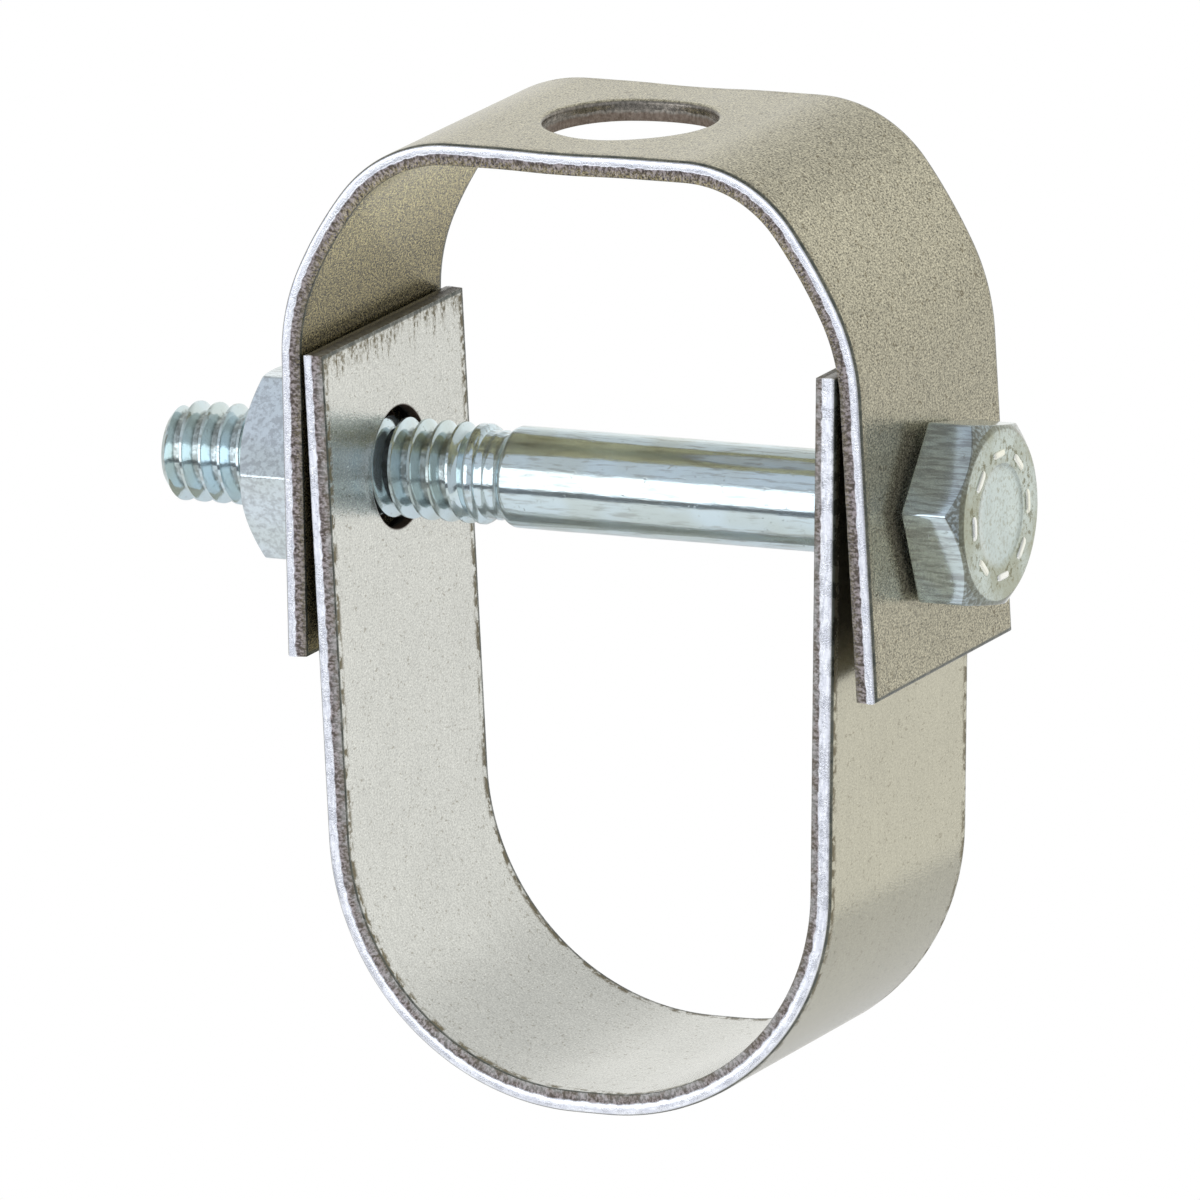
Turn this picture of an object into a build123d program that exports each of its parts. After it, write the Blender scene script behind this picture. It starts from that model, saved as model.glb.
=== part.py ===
from build123d import *
import os
from math import asin, cos, degrees, radians, sin, sqrt, tan

# Clevis pipe hanger in four pieces: two bent straps, a cross bolt and its nut. Millimetres.
# X runs along the bolt with the head at +X, Y is the depth of the straps, Z is up.
# The origin is the centre of the rod hole, halfway through the top plate.

# Strap stock, the same for both yokes
STRAP_WIDTH = 19.05
STRAP_THICKNESS = 1.31
EDGE_ROUND = 0.2

# Rod hole, and the shallow dip that punching it leaves in the plate
ROD_DIAMETER = 9.53
ROD_CLEARANCE = 0.93
SEAT_DIP = 0.08
SEAT_HALF_SPAN = 4.8

# Upper yoke: radii and lengths are those of the outer face, left is the nut side
BOLT_DROP = 21.73
LEG_BELOW_BOLT = 9.65
HIP_RADIUS = 12.9
FLANK_END_ANGLE = 64.0
PLATE_LEFT = 7.4
PLATE_RIGHT = 8.05
CROWN_RADIUS_LEFT = 9.4
CROWN_RADIUS_RIGHT = 8.5
CROWN_ANGLE_LEFT = 51.3
CROWN_ANGLE_RIGHT = 54.4
FLANK_LENGTH_LEFT = 5.7
FLANK_LENGTH_RIGHT = 5.5
UPPER_SPLAY_LEFT = 0.95
UPPER_SPLAY_RIGHT = 1.4

# Lower yoke: radii are those of the inner face, heights are measured from the bolt axis
LOOP_DEPTH = 35.0
LOOP_RADIUS_LEFT = 14.5
LOOP_RADIUS_RIGHT = 14.0
LOOP_LEAN_LEFT = 1.0
LOOP_LEAN_RIGHT = 2.7
LOOP_TOP_LEFT = 8.9
LOOP_TOP_RIGHT = 10.0
YOKE_CLEARANCE = 0.12

# Cross bolt, a quarter inch with 20 turns to the inch and a slightly thin body
BOLT_DIAMETER = 6.15
BOLT_LENGTH = 50.8
THREAD_PITCH = 1.27
THREAD_DIAMETER = 6.05
THREAD_LENGTH = 21.0
NECK_DIAMETER = 5.35
NECK_LENGTH = 1.3
SHANK_CHAMFER = 0.35
TIP_CHAMFER = 0.55
BOLT_HOLE_CLEARANCE = 1.19
HEAD_GAP = 0.38
NUT_GAP = 0.05

# Hexagons: size over the flats, height, flat face's share of it, chamfer, turn of the front corner
HEAD_ACROSS_FLATS = 10.7
HEAD_HEIGHT = 3.7
HEAD_FACE_SHARE = 0.97
HEAD_CHAMFER_ANGLE = 38.0
HEAD_TURN = 11.3
NUT_ACROSS_FLATS = 11.11
NUT_HEIGHT = 4.9
NUT_FACE_SHARE = 0.96
NUT_CHAMFER_ANGLE = 30.0
NUT_TURN = 3.0

# Plain raised dashes round the top of the head
DASH_COUNT = 8
DASH_LENGTH = 1.5
DASH_WIDTH = 0.45
DASH_HEIGHT = 0.15
DASH_RING_RADIUS = 3.7

# Thread form: flat crests of an eighth of the pitch, flat roots of a quarter
FLANK_HALF_ANGLE = 30.0
THREAD_CREST = THREAD_PITCH / 8
THREAD_ROOT = THREAD_PITCH / 4
THREAD_DEPTH = (THREAD_PITCH - THREAD_CREST - THREAD_ROOT) / (2 * tan(radians(FLANK_HALF_ANGLE)))
THREAD_RADIAL_CLEARANCE = 0.12
THREAD_FLANK_CLEARANCE = 0.06
NUT_COUNTERSINK = 0.3

# Values that follow from those above
HALF_STRAP = STRAP_THICKNESS / 2
THREAD_CREST_RADIUS = THREAD_DIAMETER / 2
THREAD_ROOT_RADIUS = THREAD_CREST_RADIUS - THREAD_DEPTH
HEAD_CORNER_RADIUS = HEAD_ACROSS_FLATS / sqrt(3)
HEAD_FACE_RADIUS = HEAD_FACE_SHARE * HEAD_ACROSS_FLATS / 2
NUT_FACE_RADIUS = NUT_FACE_SHARE * NUT_ACROSS_FLATS / 2
BASE = (Align.CENTER, Align.CENTER, Align.MIN)

# Cutting tools: how far they overshoot a face, and the extra stock that they take off again
OVERCUT = 0.05
SPARE = 6 * THREAD_PITCH


def bent_line(start, heading, steps):
    """Edges of a bent line in the XZ plane. A step is a length, or a radius and a turn."""
    edges = []
    x, z = start
    for step in steps:
        direction = (cos(radians(heading)), sin(radians(heading)))
        if isinstance(step, tuple):
            radius, turn = step
            piece = JernArc((x, z), direction, radius, turn)
            heading += turn
        else:
            end = (x + step * direction[0], z + step * direction[1])
            piece = Line((x, z), end)
        edges.extend(piece.edges())
        x, z = (piece @ 1).X, (piece @ 1).Y
    return edges, (x, z)


def mirrored(edges):
    """The same line on the left-hand side, run the other way."""
    return [edge for item in reversed(edges) for edge in mirror(item, Plane.YZ).edges()]


def strap(edges):
    """Strap with rounded edges, swept along the middle line of its thickness."""
    path = Plane.XZ * Wire(edges)
    start = Plane(origin=path @ 0, x_dir=(0, 1, 0), z_dir=path % 0)
    section = start * RectangleRounded(STRAP_WIDTH, STRAP_THICKNESS, EDGE_ROUND)
    return sweep(section, path=path)


def upper_half(plate, crown_radius, crown_angle, flank_length, splay):
    """Middle line of the upper yoke's right half from the rod hole to the foot, and its knee."""
    span = SEAT_HALF_SPAN / 2
    dip_radius = (span ** 2 + (SEAT_DIP / 2) ** 2) / SEAT_DIP
    dip_turn = degrees(asin(span / dip_radius))
    flank_turn = FLANK_END_ANGLE - crown_angle
    flank_radius = flank_length / radians(flank_turn)
    steps = [
        (dip_radius, dip_turn),
        (dip_radius, -dip_turn),
        plate - SEAT_HALF_SPAN,
        (crown_radius - HALF_STRAP, -crown_angle),
        (flank_radius - HALF_STRAP, -flank_turn),
        (HIP_RADIUS - HALF_STRAP, FLANK_END_ANGLE + splay - 90),
    ]
    bends, knee = bent_line((0, 0), 0, steps)
    foot_z = -BOLT_DROP - LEG_BELOW_BOLT
    leg_length = (knee[1] - foot_z) / cos(radians(splay))
    leg, _ = bent_line(knee, splay - 90, [leg_length])
    return bends + leg, knee


def outer_face_x(knee, splay, z):
    """Distance of a leg's outer face from the rod axis at height z."""
    slope = radians(splay)
    return knee[0] + (knee[1] - z) * tan(slope) + HALF_STRAP / cos(slope)


def inner_face_x(knee, splay, z):
    """Distance of the inner face from the rod axis at height z, on the leg or on the hip bend."""
    slope = radians(splay)
    radius = HIP_RADIUS - HALF_STRAP
    centre = (knee[0] - radius * cos(slope), knee[1] - radius * sin(slope))
    inner = HIP_RADIUS - STRAP_THICKNESS
    if z > centre[1] + inner * sin(slope):
        return centre[0] + sqrt(inner ** 2 - (z - centre[1]) ** 2)
    return knee[0] + (knee[1] - z) * tan(slope) - HALF_STRAP / cos(slope)


def bearing_x(knee, splay, radius, gap):
    """Distance of a flat ring of this radius round the bolt that stands just off a leg's outer face."""
    faces = [outer_face_x(knee, splay, -BOLT_DROP + side * radius) for side in (-1, 1)]
    return max(faces) + gap


def loop_half(radius, lean, top, knee, splay):
    """Middle line of the lower yoke's right half, its end just inside the upper yoke's leg."""
    slope = radians(lean)
    bottom_z = -BOLT_DROP - LOOP_DEPTH - HALF_STRAP
    bend, end = bent_line((0, bottom_z), 0, [(radius + HALF_STRAP, 90 - lean)])
    leg_length = (top - BOLT_DROP - end[1]) / cos(slope)
    leg, tip = bent_line(end, 90 - lean, [leg_length])
    corner_x = tip[0] + HALF_STRAP * cos(slope)
    corner_z = tip[1] - HALF_STRAP * sin(slope)
    shift = inner_face_x(knee, splay, corner_z) - YOKE_CLEARANCE - corner_x
    return [Pos(shift, 0) * edge for edge in bend + leg], shift


def bolt_holes(shape):
    """Cut the bolt's hole through the leg on each side."""
    radius = (BOLT_DIAMETER + BOLT_HOLE_CLEARANCE) / 2
    box = shape.bounding_box()
    middle = Pos((box.min.X + box.max.X) / 2, 0, -BOLT_DROP)
    drill = Rot(0, 90, 0) * Cylinder(radius, 2 * box.size.X)
    return shape - middle * drill


def turned(*points):
    """Solid of revolution about Z from (radius, height) points."""
    return revolve(Plane.XZ * make_face(Polyline(*points, close=True)), Axis.Z)


def hexagon(across_flats, low, high, turn):
    """Hexagonal prism between two heights, its front corner raised by turn."""
    outline = RegularPolygon(across_flats / 2, 6, major_radius=False, rotation=30 - turn)
    return Pos(0, 0, low) * extrude(outline, high - low)


def hex_end(face, outward, face_radius, angle, sink_radius):
    """What is cut away past an end face: the spare length, the corners and a countersink."""
    wide = 1.4 * face_radius
    drop = (wide - face_radius) * tan(radians(angle))
    profile = [(sink_radius, 0), (face_radius, 0), (wide, -drop), (wide, SPARE), (0, SPARE)]
    if sink_radius > 0:
        profile.insert(0, (0, -sink_radius))
    return turned(*[(radius, face + outward * height) for radius, height in profile])


def helical_groove(deep_radius, mouth_radius, deep_width, low, high):
    """V groove that climbs from one height to another, flat at deep_radius, open at mouth_radius."""
    spread = abs(mouth_radius - deep_radius) * tan(radians(FLANK_HALF_ANGLE))
    deep = deep_width / 2
    mouth = deep + spread
    corners = [(deep_radius, -deep), (mouth_radius, -mouth), (mouth_radius, mouth), (deep_radius, deep)]
    section = Plane.XZ * make_face(Polyline(*corners, close=True))
    path = Helix(THREAD_PITCH, high - low, deep_radius)
    return Pos(0, 0, low) * sweep(section, path=path, is_frenet=True)


def cross_bolt():
    """Bolt up Z: the thread's tip at z = 0, the head's bearing face at z = BOLT_LENGTH."""
    crest = THREAD_CREST_RADIUS
    neck = NECK_DIAMETER / 2
    shank = BOLT_DIAMETER / 2
    shoulder = THREAD_LENGTH - crest + neck
    shank_start = THREAD_LENGTH + NECK_LENGTH
    stock = Pos(0, 0, -SPARE) * Cylinder(crest, SPARE + shoulder, align=BASE)
    groove = helical_groove(
        THREAD_ROOT_RADIUS, crest + OVERCUT, THREAD_ROOT, -2 * THREAD_PITCH, shoulder - 0.75 * THREAD_PITCH)
    wide = crest + 1
    tip = turned((0, 0), (crest - TIP_CHAMFER, 0), (wide, TIP_CHAMFER + 1), (wide, -SPARE), (0, -SPARE))
    threaded = stock - groove - tip
    plain = turned(
        (0, shoulder),
        (crest, shoulder),
        (neck, THREAD_LENGTH),
        (neck, shank_start),
        (shank - SHANK_CHAMFER, shank_start),
        (shank, shank_start + SHANK_CHAMFER),
        (shank, BOLT_LENGTH),
        (0, BOLT_LENGTH),
    )
    top = BOLT_LENGTH + HEAD_HEIGHT
    head = hexagon(HEAD_ACROSS_FLATS, BOLT_LENGTH, top + 1, HEAD_TURN)
    head -= hex_end(top, 1, HEAD_FACE_RADIUS, HEAD_CHAMFER_ANGLE, 0)
    bolt = threaded + plain + head
    for place in PolarLocations(DASH_RING_RADIUS, DASH_COUNT):
        bolt += Pos(0, 0, top) * place * Box(DASH_WIDTH, DASH_LENGTH, 2 * DASH_HEIGHT)
    return bolt


def hex_nut(bearing):
    """Nut in the bolt's own position, its bearing face at this height, threaded to run on it."""
    bore = THREAD_ROOT_RADIUS + THREAD_RADIAL_CLEARANCE
    deep = THREAD_CREST_RADIUS + THREAD_RADIAL_CLEARANCE
    deep_width = THREAD_CREST + 2 * THREAD_FLANK_CLEARANCE
    deep_width -= 2 * THREAD_RADIAL_CLEARANCE * tan(radians(FLANK_HALF_ANGLE))
    low = bearing - NUT_HEIGHT
    first_turn = int(low / THREAD_PITCH) - 1.5
    last_turn = int(bearing / THREAD_PITCH) + 2.5
    block_low = (first_turn - 1.5) * THREAD_PITCH
    block_high = (last_turn + 1.5) * THREAD_PITCH
    nut = hexagon(NUT_ACROSS_FLATS, block_low, block_high, NUT_TURN)
    nut -= Pos(0, 0, block_low - 1) * Cylinder(bore, block_high - block_low + 2, align=BASE)
    nut -= helical_groove(
        deep, bore - OVERCUT, deep_width, first_turn * THREAD_PITCH, last_turn * THREAD_PITCH)
    nut -= hex_end(low, -1, NUT_FACE_RADIUS, NUT_CHAMFER_ANGLE, deep + NUT_COUNTERSINK)
    nut -= hex_end(bearing, 1, NUT_FACE_RADIUS, NUT_CHAMFER_ANGLE, deep + NUT_COUNTERSINK)
    return nut


os.makedirs("parts", exist_ok=True)

right_line, right_knee = upper_half(
    PLATE_RIGHT, CROWN_RADIUS_RIGHT, CROWN_ANGLE_RIGHT, FLANK_LENGTH_RIGHT, UPPER_SPLAY_RIGHT)
left_line, left_knee = upper_half(
    PLATE_LEFT, CROWN_RADIUS_LEFT, CROWN_ANGLE_LEFT, FLANK_LENGTH_LEFT, UPPER_SPLAY_LEFT)
upper_yoke = bolt_holes(strap(mirrored(left_line) + right_line))
upper_yoke -= Cylinder((ROD_DIAMETER + ROD_CLEARANCE) / 2, 8 * STRAP_THICKNESS)

right_loop, right_end = loop_half(
    LOOP_RADIUS_RIGHT, LOOP_LEAN_RIGHT, LOOP_TOP_RIGHT, right_knee, UPPER_SPLAY_RIGHT)
left_loop, left_end = loop_half(
    LOOP_RADIUS_LEFT, LOOP_LEAN_LEFT, LOOP_TOP_LEFT, left_knee, UPPER_SPLAY_LEFT)
loop_z = -BOLT_DROP - LOOP_DEPTH - HALF_STRAP
flat = Line((-left_end, loop_z), (right_end, loop_z))
lower_yoke = bolt_holes(strap(mirrored(left_loop) + flat.edges() + right_loop))

head_x = bearing_x(right_knee, UPPER_SPLAY_RIGHT, HEAD_CORNER_RADIUS, HEAD_GAP)
nut_x = -bearing_x(left_knee, UPPER_SPLAY_LEFT, NUT_FACE_RADIUS, NUT_GAP)
on_bolt = Pos(head_x - BOLT_LENGTH, 0, -BOLT_DROP) * Rot(0, 90, 0)

pieces = {
    "upper_yoke": upper_yoke,
    "lower_yoke": lower_yoke,
    "cross_bolt": on_bolt * cross_bolt(),
    "hex_nut": on_bolt * hex_nut(nut_x - head_x + BOLT_LENGTH),
}
for name, shape in pieces.items():
    export_step(shape, f"parts/{name}.step")
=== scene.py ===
import math

import bmesh
import bpy
import numpy as np
from mathutils import Matrix, Vector


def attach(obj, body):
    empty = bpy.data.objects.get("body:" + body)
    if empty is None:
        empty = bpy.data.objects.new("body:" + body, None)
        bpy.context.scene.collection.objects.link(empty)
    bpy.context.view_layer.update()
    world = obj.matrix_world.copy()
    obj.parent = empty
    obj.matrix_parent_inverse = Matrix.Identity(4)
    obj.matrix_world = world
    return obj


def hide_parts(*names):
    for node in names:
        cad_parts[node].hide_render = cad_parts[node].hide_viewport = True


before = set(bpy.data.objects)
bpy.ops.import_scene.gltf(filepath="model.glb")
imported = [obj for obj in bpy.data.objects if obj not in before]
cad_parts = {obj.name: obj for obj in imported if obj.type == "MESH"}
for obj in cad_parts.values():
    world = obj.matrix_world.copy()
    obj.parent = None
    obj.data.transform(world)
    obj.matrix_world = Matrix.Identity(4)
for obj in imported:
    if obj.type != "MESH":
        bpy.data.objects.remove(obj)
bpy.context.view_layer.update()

# A clevis pipe hanger: two bent straps, a bolt and its nut. Lengths are in mm and become metres where a
# mesh is made. The studio at the end is in metres.
mm = 0.001
boltZ = -21.73  # height of the bolt's axis, measured from the middle of the top plate
pitch = 1.27  # of the thread
mergeDistance = 1e-7  # metres
fullTurn = 2 * np.pi

# what both straps share: the sheet, the steps of its mesh, and the waves of its torn edge
sheet = dict(
    thick=1.31, halfWidth=9.525, edgeInset=0.45, stepAlong=0.16, stepAcross=0.42, holeRings=7, ringEase=0.8,
    pathStep=0.02, tornMean=0.010, tornWave=0.012, sharp=50)
# the edge from the outer face to the inner one as (out, height): die roll, bright land, torn zone, burr
edgeProfile = [
    (0.10, 0.652), (0.20, 0.640), (0.30, 0.612), (0.37, 0.570), (0.42, 0.510), (0.445, 0.430), (0.450, 0.340),
    (0.450, 0.160), (0.444, 0.080), (0.430, 0.020), (0.418, -0.220), (0.408, -0.420), (0.400, -0.560),
    (0.395, -0.630), (0.350, -0.655), (0.20, -0.655)]


# Lines between marks, evenly spaced inside each gap and no further apart than step.
def spacedLines(marks, step):
    parts = []
    for low, high in zip(marks[:-1], marks[1:]):
        count = max(1, int(np.ceil((high - low) / step)))
        parts.append(np.linspace(low, high, count + 1)[:-1])
    return np.concatenate(parts + [marks[-1:]])


# Flat quads over a grid of lines along s and across y. Each hole takes out a square of cells, and rings of
# quads pass from that square to a circle: point = square * (1 - t) + circle * t, with t from 0 to 1.
def sheetWithHoles(sLines, yLines, holes):
    s, y = np.meshgrid(sLines, yLines, indexing="ij")
    grid = np.stack([s.ravel(), y.ravel()], -1)
    index = np.arange(len(grid)).reshape(s.shape)
    points, quads, rims, count = [grid], [], [], len(grid)
    sMid = (sLines[1:] + sLines[:-1]) / 2
    yMid = (yLines[1:] + yLines[:-1]) / 2
    keep = np.ones((len(sMid), len(yMid)), bool)
    for centre, reach, radius in holes:
        inS = np.abs(sMid - centre) < reach
        inY = np.abs(yMid) < reach
        keep &= ~(inS[:, None] & inY[None, :])
        i0, i1 = np.flatnonzero(inS)[[0, -1]] + [0, 1]
        j0, j1 = np.flatnonzero(inY)[[0, -1]] + [0, 1]
        loop = np.concatenate([index[i0:i1, j0], index[i1, j0:j1], index[i1:i0:-1, j1], index[i0, j1:j0:-1]])
        square = grid[loop]
        away = square - [centre, 0]
        out = away / np.linalg.norm(away, axis=1)[:, None]
        circle = [centre, 0] + out * radius
        rows = [loop]
        for k in range(1, sheet["holeRings"] + 1):
            t = (k / sheet["holeRings"]) ** sheet["ringEase"]
            points.append(square * (1 - t) + circle * t)
            rows.append(count + np.arange(len(loop)))
            count += len(loop)
        for a, b in zip(rows[:-1], rows[1:]):
            quads.append(np.stack([a, np.roll(a, -1), np.roll(b, -1), b], -1))
        rims.append((rows[-1], -out))
    i, j = np.nonzero(keep)
    quads.append(np.stack([index[i, j], index[i + 1, j], index[i + 1, j + 1], index[i, j + 1]], -1))
    edge = np.concatenate([index[:-1, 0], index[-1, :-1], index[:0:-1, -1], index[0, :0:-1]])
    along, across = grid[edge].T
    outward = np.stack([1.0 * (along == sLines[-1]) - 1.0 * (along == sLines[0]),
                        1.0 * (across == yLines[-1]) - 1.0 * (across == yLines[0])], -1)
    return np.concatenate(points), np.concatenate(quads), [(edge, outward)] + rims


# Two faces half the thickness above and below the sheet, joined by walls along every loop: wall point =
# loop point + outward * offset, at the height that the edge profile gives. The wall value runs to 1 on the
# strap's own edge and to -1 in its holes.
def thicken(flat, quads, loops):
    n, half = len(flat), sheet["thick"] / 2
    points = [np.column_stack([flat, np.full(n, half)]), np.column_stack([flat, np.full(n, -half)])]
    faces = [quads, quads[:, ::-1] + n]
    wall = [np.zeros(2 * n)]
    count = 2 * n
    for kind, (loop, outward) in enumerate(loops):
        side = 1.0 if kind == 0 else -1.0
        rows = [loop]
        for offset, height in edgeProfile:
            points.append(np.column_stack([flat[loop] + outward * offset, np.full(len(loop), height)]))
            wall.append(np.full(len(loop), side * min(1, offset / sheet["edgeInset"])))
            rows.append(count + np.arange(len(loop)))
            count += len(loop)
        rows.append(loop + n)
        for a, b in zip(rows[:-1], rows[1:]):
            faces.append(np.stack([a, b, np.roll(b, -1), np.roll(a, -1)], -1))
    return np.concatenate(points), np.concatenate(faces), np.concatenate(wall)


# An arc as (length, turn in degrees): length = radius * turn.
def arcStep(radius, turn):
    return (abs(radius * math.radians(turn)), turn)


# Lengths and headings along one half of a strap, from its middle. The heading runs evenly through each
# step, and the last leg is as long as the height legEnd asks for: length = height left / sin(heading).
def strapHalf(steps, legEnd, startZ, sign):
    s, heading = [0.0], [0.0]
    for length, turn in steps:
        s.append(s[-1] + length)
        heading.append(heading[-1] + sign * math.radians(turn))
    z = startZ
    for k in range(len(steps)):
        z += np.mean(np.sin(np.linspace(heading[k], heading[k + 1], 400))) * (s[k + 1] - s[k])
    leg = (legEnd - z) / math.sin(heading[-1])
    return np.array(s + [s[-1] + leg]), np.array(heading + [heading[-1]])


# Middle line of a strap: its heading is linear between the marks, softened over blend, and the place is
# the running sum of (cos, sin) of the heading. The left half follows the right's rule mirrored.
def centreLine(right, left, startZ, blend):
    sR, hR = right
    sL, hL = left
    step = sheet["pathStep"]
    s = np.arange(-sL[-1], sR[-1], step)
    heading = np.where(s >= 0, np.interp(s, sR, hR), -np.interp(-s, sL, hL))
    width = max(1, int(blend / step))
    padded = np.pad(heading, (width // 2, width - 1 - width // 2), mode="edge")
    heading = np.convolve(padded, np.ones(width) / width, mode="valid")
    x = np.concatenate([[0], np.cumsum((np.cos(heading[1:]) + np.cos(heading[:-1])) * step / 2)])
    z = np.concatenate([[0], np.cumsum((np.sin(heading[1:]) + np.sin(heading[:-1])) * step / 2)])
    x -= np.interp(0, s, x)
    z += startZ - np.interp(0, s, z)
    return s, x, z, heading


# Lengths along the middle line at which its left and right legs pass height z.
def atHeight(line, z):
    s, zs = line[0], line[2]
    found = []
    for leg in (s < -5, s > 5):  # past the plate or the saddle's flat, where z rises or falls all the way
        order = np.argsort(zs[leg])
        found.append(float(np.interp(z, zs[leg][order], s[leg][order])))
    return found


# Bends the flat solid onto its middle line: place(s) + normal(s) * height, and y stays y. Past its ends
# the line goes straight on.
def lift(line, points, outSign):
    s, x, z, heading = line
    h = np.interp(points[:, 0], s, heading)
    px = np.interp(points[:, 0], s, x) - np.sin(h) * points[:, 2] * outSign
    pz = np.interp(points[:, 0], s, z) + np.cos(h) * points[:, 2] * outSign
    over = np.maximum(points[:, 0] - s[-1], 0) + np.minimum(points[:, 0] - s[0], 0)
    return np.stack([px + over * np.cos(h), points[:, 1], pz + over * np.sin(h)], -1)


# Mesh from arrays in mm: doubles joined, normals outward, smooth but for edges over sharp degrees.
def meshObject(name, points, faces, attributes, sharp):
    mesh = bpy.data.meshes.new(name)
    mesh.from_pydata((points * mm).tolist(), [], faces.tolist())
    for key, values in attributes.items():
        kind, field = ("FLOAT_VECTOR", "vector") if values.ndim == 2 else ("FLOAT", "value")
        layer = mesh.attributes.new(key, kind, "POINT")
        layer.data.foreach_set(field, values.astype(np.float32).ravel())
    work = bmesh.new()
    work.from_mesh(mesh)
    bmesh.ops.remove_doubles(work, verts=work.verts, dist=mergeDistance)
    bmesh.ops.dissolve_degenerate(work, edges=work.edges, dist=mergeDistance)
    bmesh.ops.recalc_face_normals(work, faces=work.faces)
    work.to_mesh(mesh)
    work.free()
    mesh.shade_smooth()
    mesh.set_sharp_from_angle(angle=math.radians(sharp))
    piece = bpy.data.objects.new(name, mesh)
    bpy.context.scene.collection.objects.link(piece)
    print(name, "triangles", sum(len(p.vertices) - 2 for p in mesh.polygons))
    return piece


# One strap: the flat grid with its holes, thickened and bent. Each hole is (place along, half of the
# square taken out, radius). The torn zone steps in by a mean and a sum of sine waves along the edge.
def makeStrap(name, line, outSign, holes, seed):
    inset = sheet["edgeInset"]
    sides = [centre + side * reach for centre, reach, radius in holes for side in (-1, 1)]
    marks = sorted([line[0][0] + inset, line[0][-1] - inset] + sides)
    reaches = sorted({reach for centre, reach, radius in holes})
    edge = sheet["halfWidth"] - inset
    yMarks = [-edge] + [-reach for reach in reversed(reaches)] + reaches + [edge]
    flat, quads, loops = sheetWithHoles(
        spacedLines(np.array(marks), sheet["stepAlong"]), spacedLines(np.array(yMarks), sheet["stepAcross"]),
        [(centre, reach, radius + inset) for centre, reach, radius in holes])
    solid, faces, wall = thicken(flat, quads, loops)
    rng = np.random.default_rng(seed)
    waves = sum(np.sin(solid[:, 0] * f + solid[:, 1] * f * 0.7 + p) / (1 + 0.3 * f)
                for f, p in zip(rng.uniform(0.8, 14, 12), rng.uniform(0, 6.28, 12)))
    torn = np.clip(-solid[:, 2] / 0.2, 0, 1) * (wall > 0.85)
    solid[:, 1] -= np.sign(solid[:, 1]) * torn * np.maximum(sheet["tornMean"] + sheet["tornWave"] * waves, 0)
    return meshObject(name, lift(line, solid, outSign), faces, {"stock": solid, "wall": wall}, sheet["sharp"])


# node helpers

def put(tree, socket, value):
    if isinstance(value, bpy.types.NodeSocket):
        tree.links.new(value, socket)
    elif value is not None:
        socket.default_value = value


def calc(tree, op, a, b=None, c=None, clamp=False):
    node = tree.nodes.new("ShaderNodeMath")
    node.operation = op
    node.use_clamp = clamp
    for socket, value in zip(node.inputs, (a, b, c)):
        put(tree, socket, value)
    return node.outputs[0]


# Smooth step from start to end while the value goes from low to high.
def ramp(tree, value, low, high, start=0.0, end=1.0):
    node = tree.nodes.new("ShaderNodeMapRange")
    node.interpolation_type = "SMOOTHSTEP"
    for label, v in (("Value", value), ("From Min", low), ("From Max", high), ("To Min", start), ("To Max", end)):
        put(tree, node.inputs[label], v)
    return node.outputs["Result"]


def blendColor(tree, factor, a, b, kind="MIX"):
    node = tree.nodes.new("ShaderNodeMix")
    node.data_type = "RGBA"
    node.blend_type = kind
    put(tree, node.inputs["Factor"], factor)
    put(tree, node.inputs["A"], a)
    put(tree, node.inputs["B"], b)
    return node.outputs["Result"]


# Noise whose scale counts cells in a unit of its vector, drawn out where stretch is under 1.
def noise(tree, vector, scale, detail, rough, stretch=None):
    if stretch is not None:
        mapping = tree.nodes.new("ShaderNodeMapping")
        mapping.inputs["Scale"].default_value = stretch
        put(tree, mapping.inputs["Vector"], vector)
        vector = mapping.outputs[0]
    node = tree.nodes.new("ShaderNodeTexNoise")
    put(tree, node.inputs["Vector"], vector)
    node.inputs["Scale"].default_value = scale
    node.inputs["Detail"].default_value = detail
    node.inputs["Roughness"].default_value = rough
    return node.outputs["Fac"]


# (value - 0.5) * gain + base: adds a noise that swings about its middle.
def swing(tree, value, gain, base=0.0):
    return calc(tree, "MULTIPLY_ADD", calc(tree, "SUBTRACT", value, 0.5), gain, base)


def split(tree, vector):
    node = tree.nodes.new("ShaderNodeSeparateXYZ")
    put(tree, node.inputs[0], vector)
    return node.outputs


def attribute(tree, name):
    node = tree.nodes.new("ShaderNodeAttribute")
    node.attribute_name = name
    return node.outputs


def newGroup(name, inputs, outputs):
    tree = bpy.data.node_groups.new(name, "ShaderNodeTree")
    for label, kind, value in inputs:
        socket = tree.interface.new_socket(label, in_out="INPUT", socket_type="NodeSocket" + kind)
        if value is not None:
            socket.default_value = value
    for label, kind in outputs:
        tree.interface.new_socket(label, in_out="OUTPUT", socket_type="NodeSocket" + kind)
    return tree, tree.nodes.new("NodeGroupInput").outputs, tree.nodes.new("NodeGroupOutput").inputs


def useGroup(tree, group, **links):
    node = tree.nodes.new("ShaderNodeGroup")
    node.node_tree = group
    for label, value in links.items():
        put(tree, node.inputs[label.replace("_", " ")], value)
    return node.outputs


# shader groups: they give colours, masks and heights, and the materials own the shaders

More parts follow.
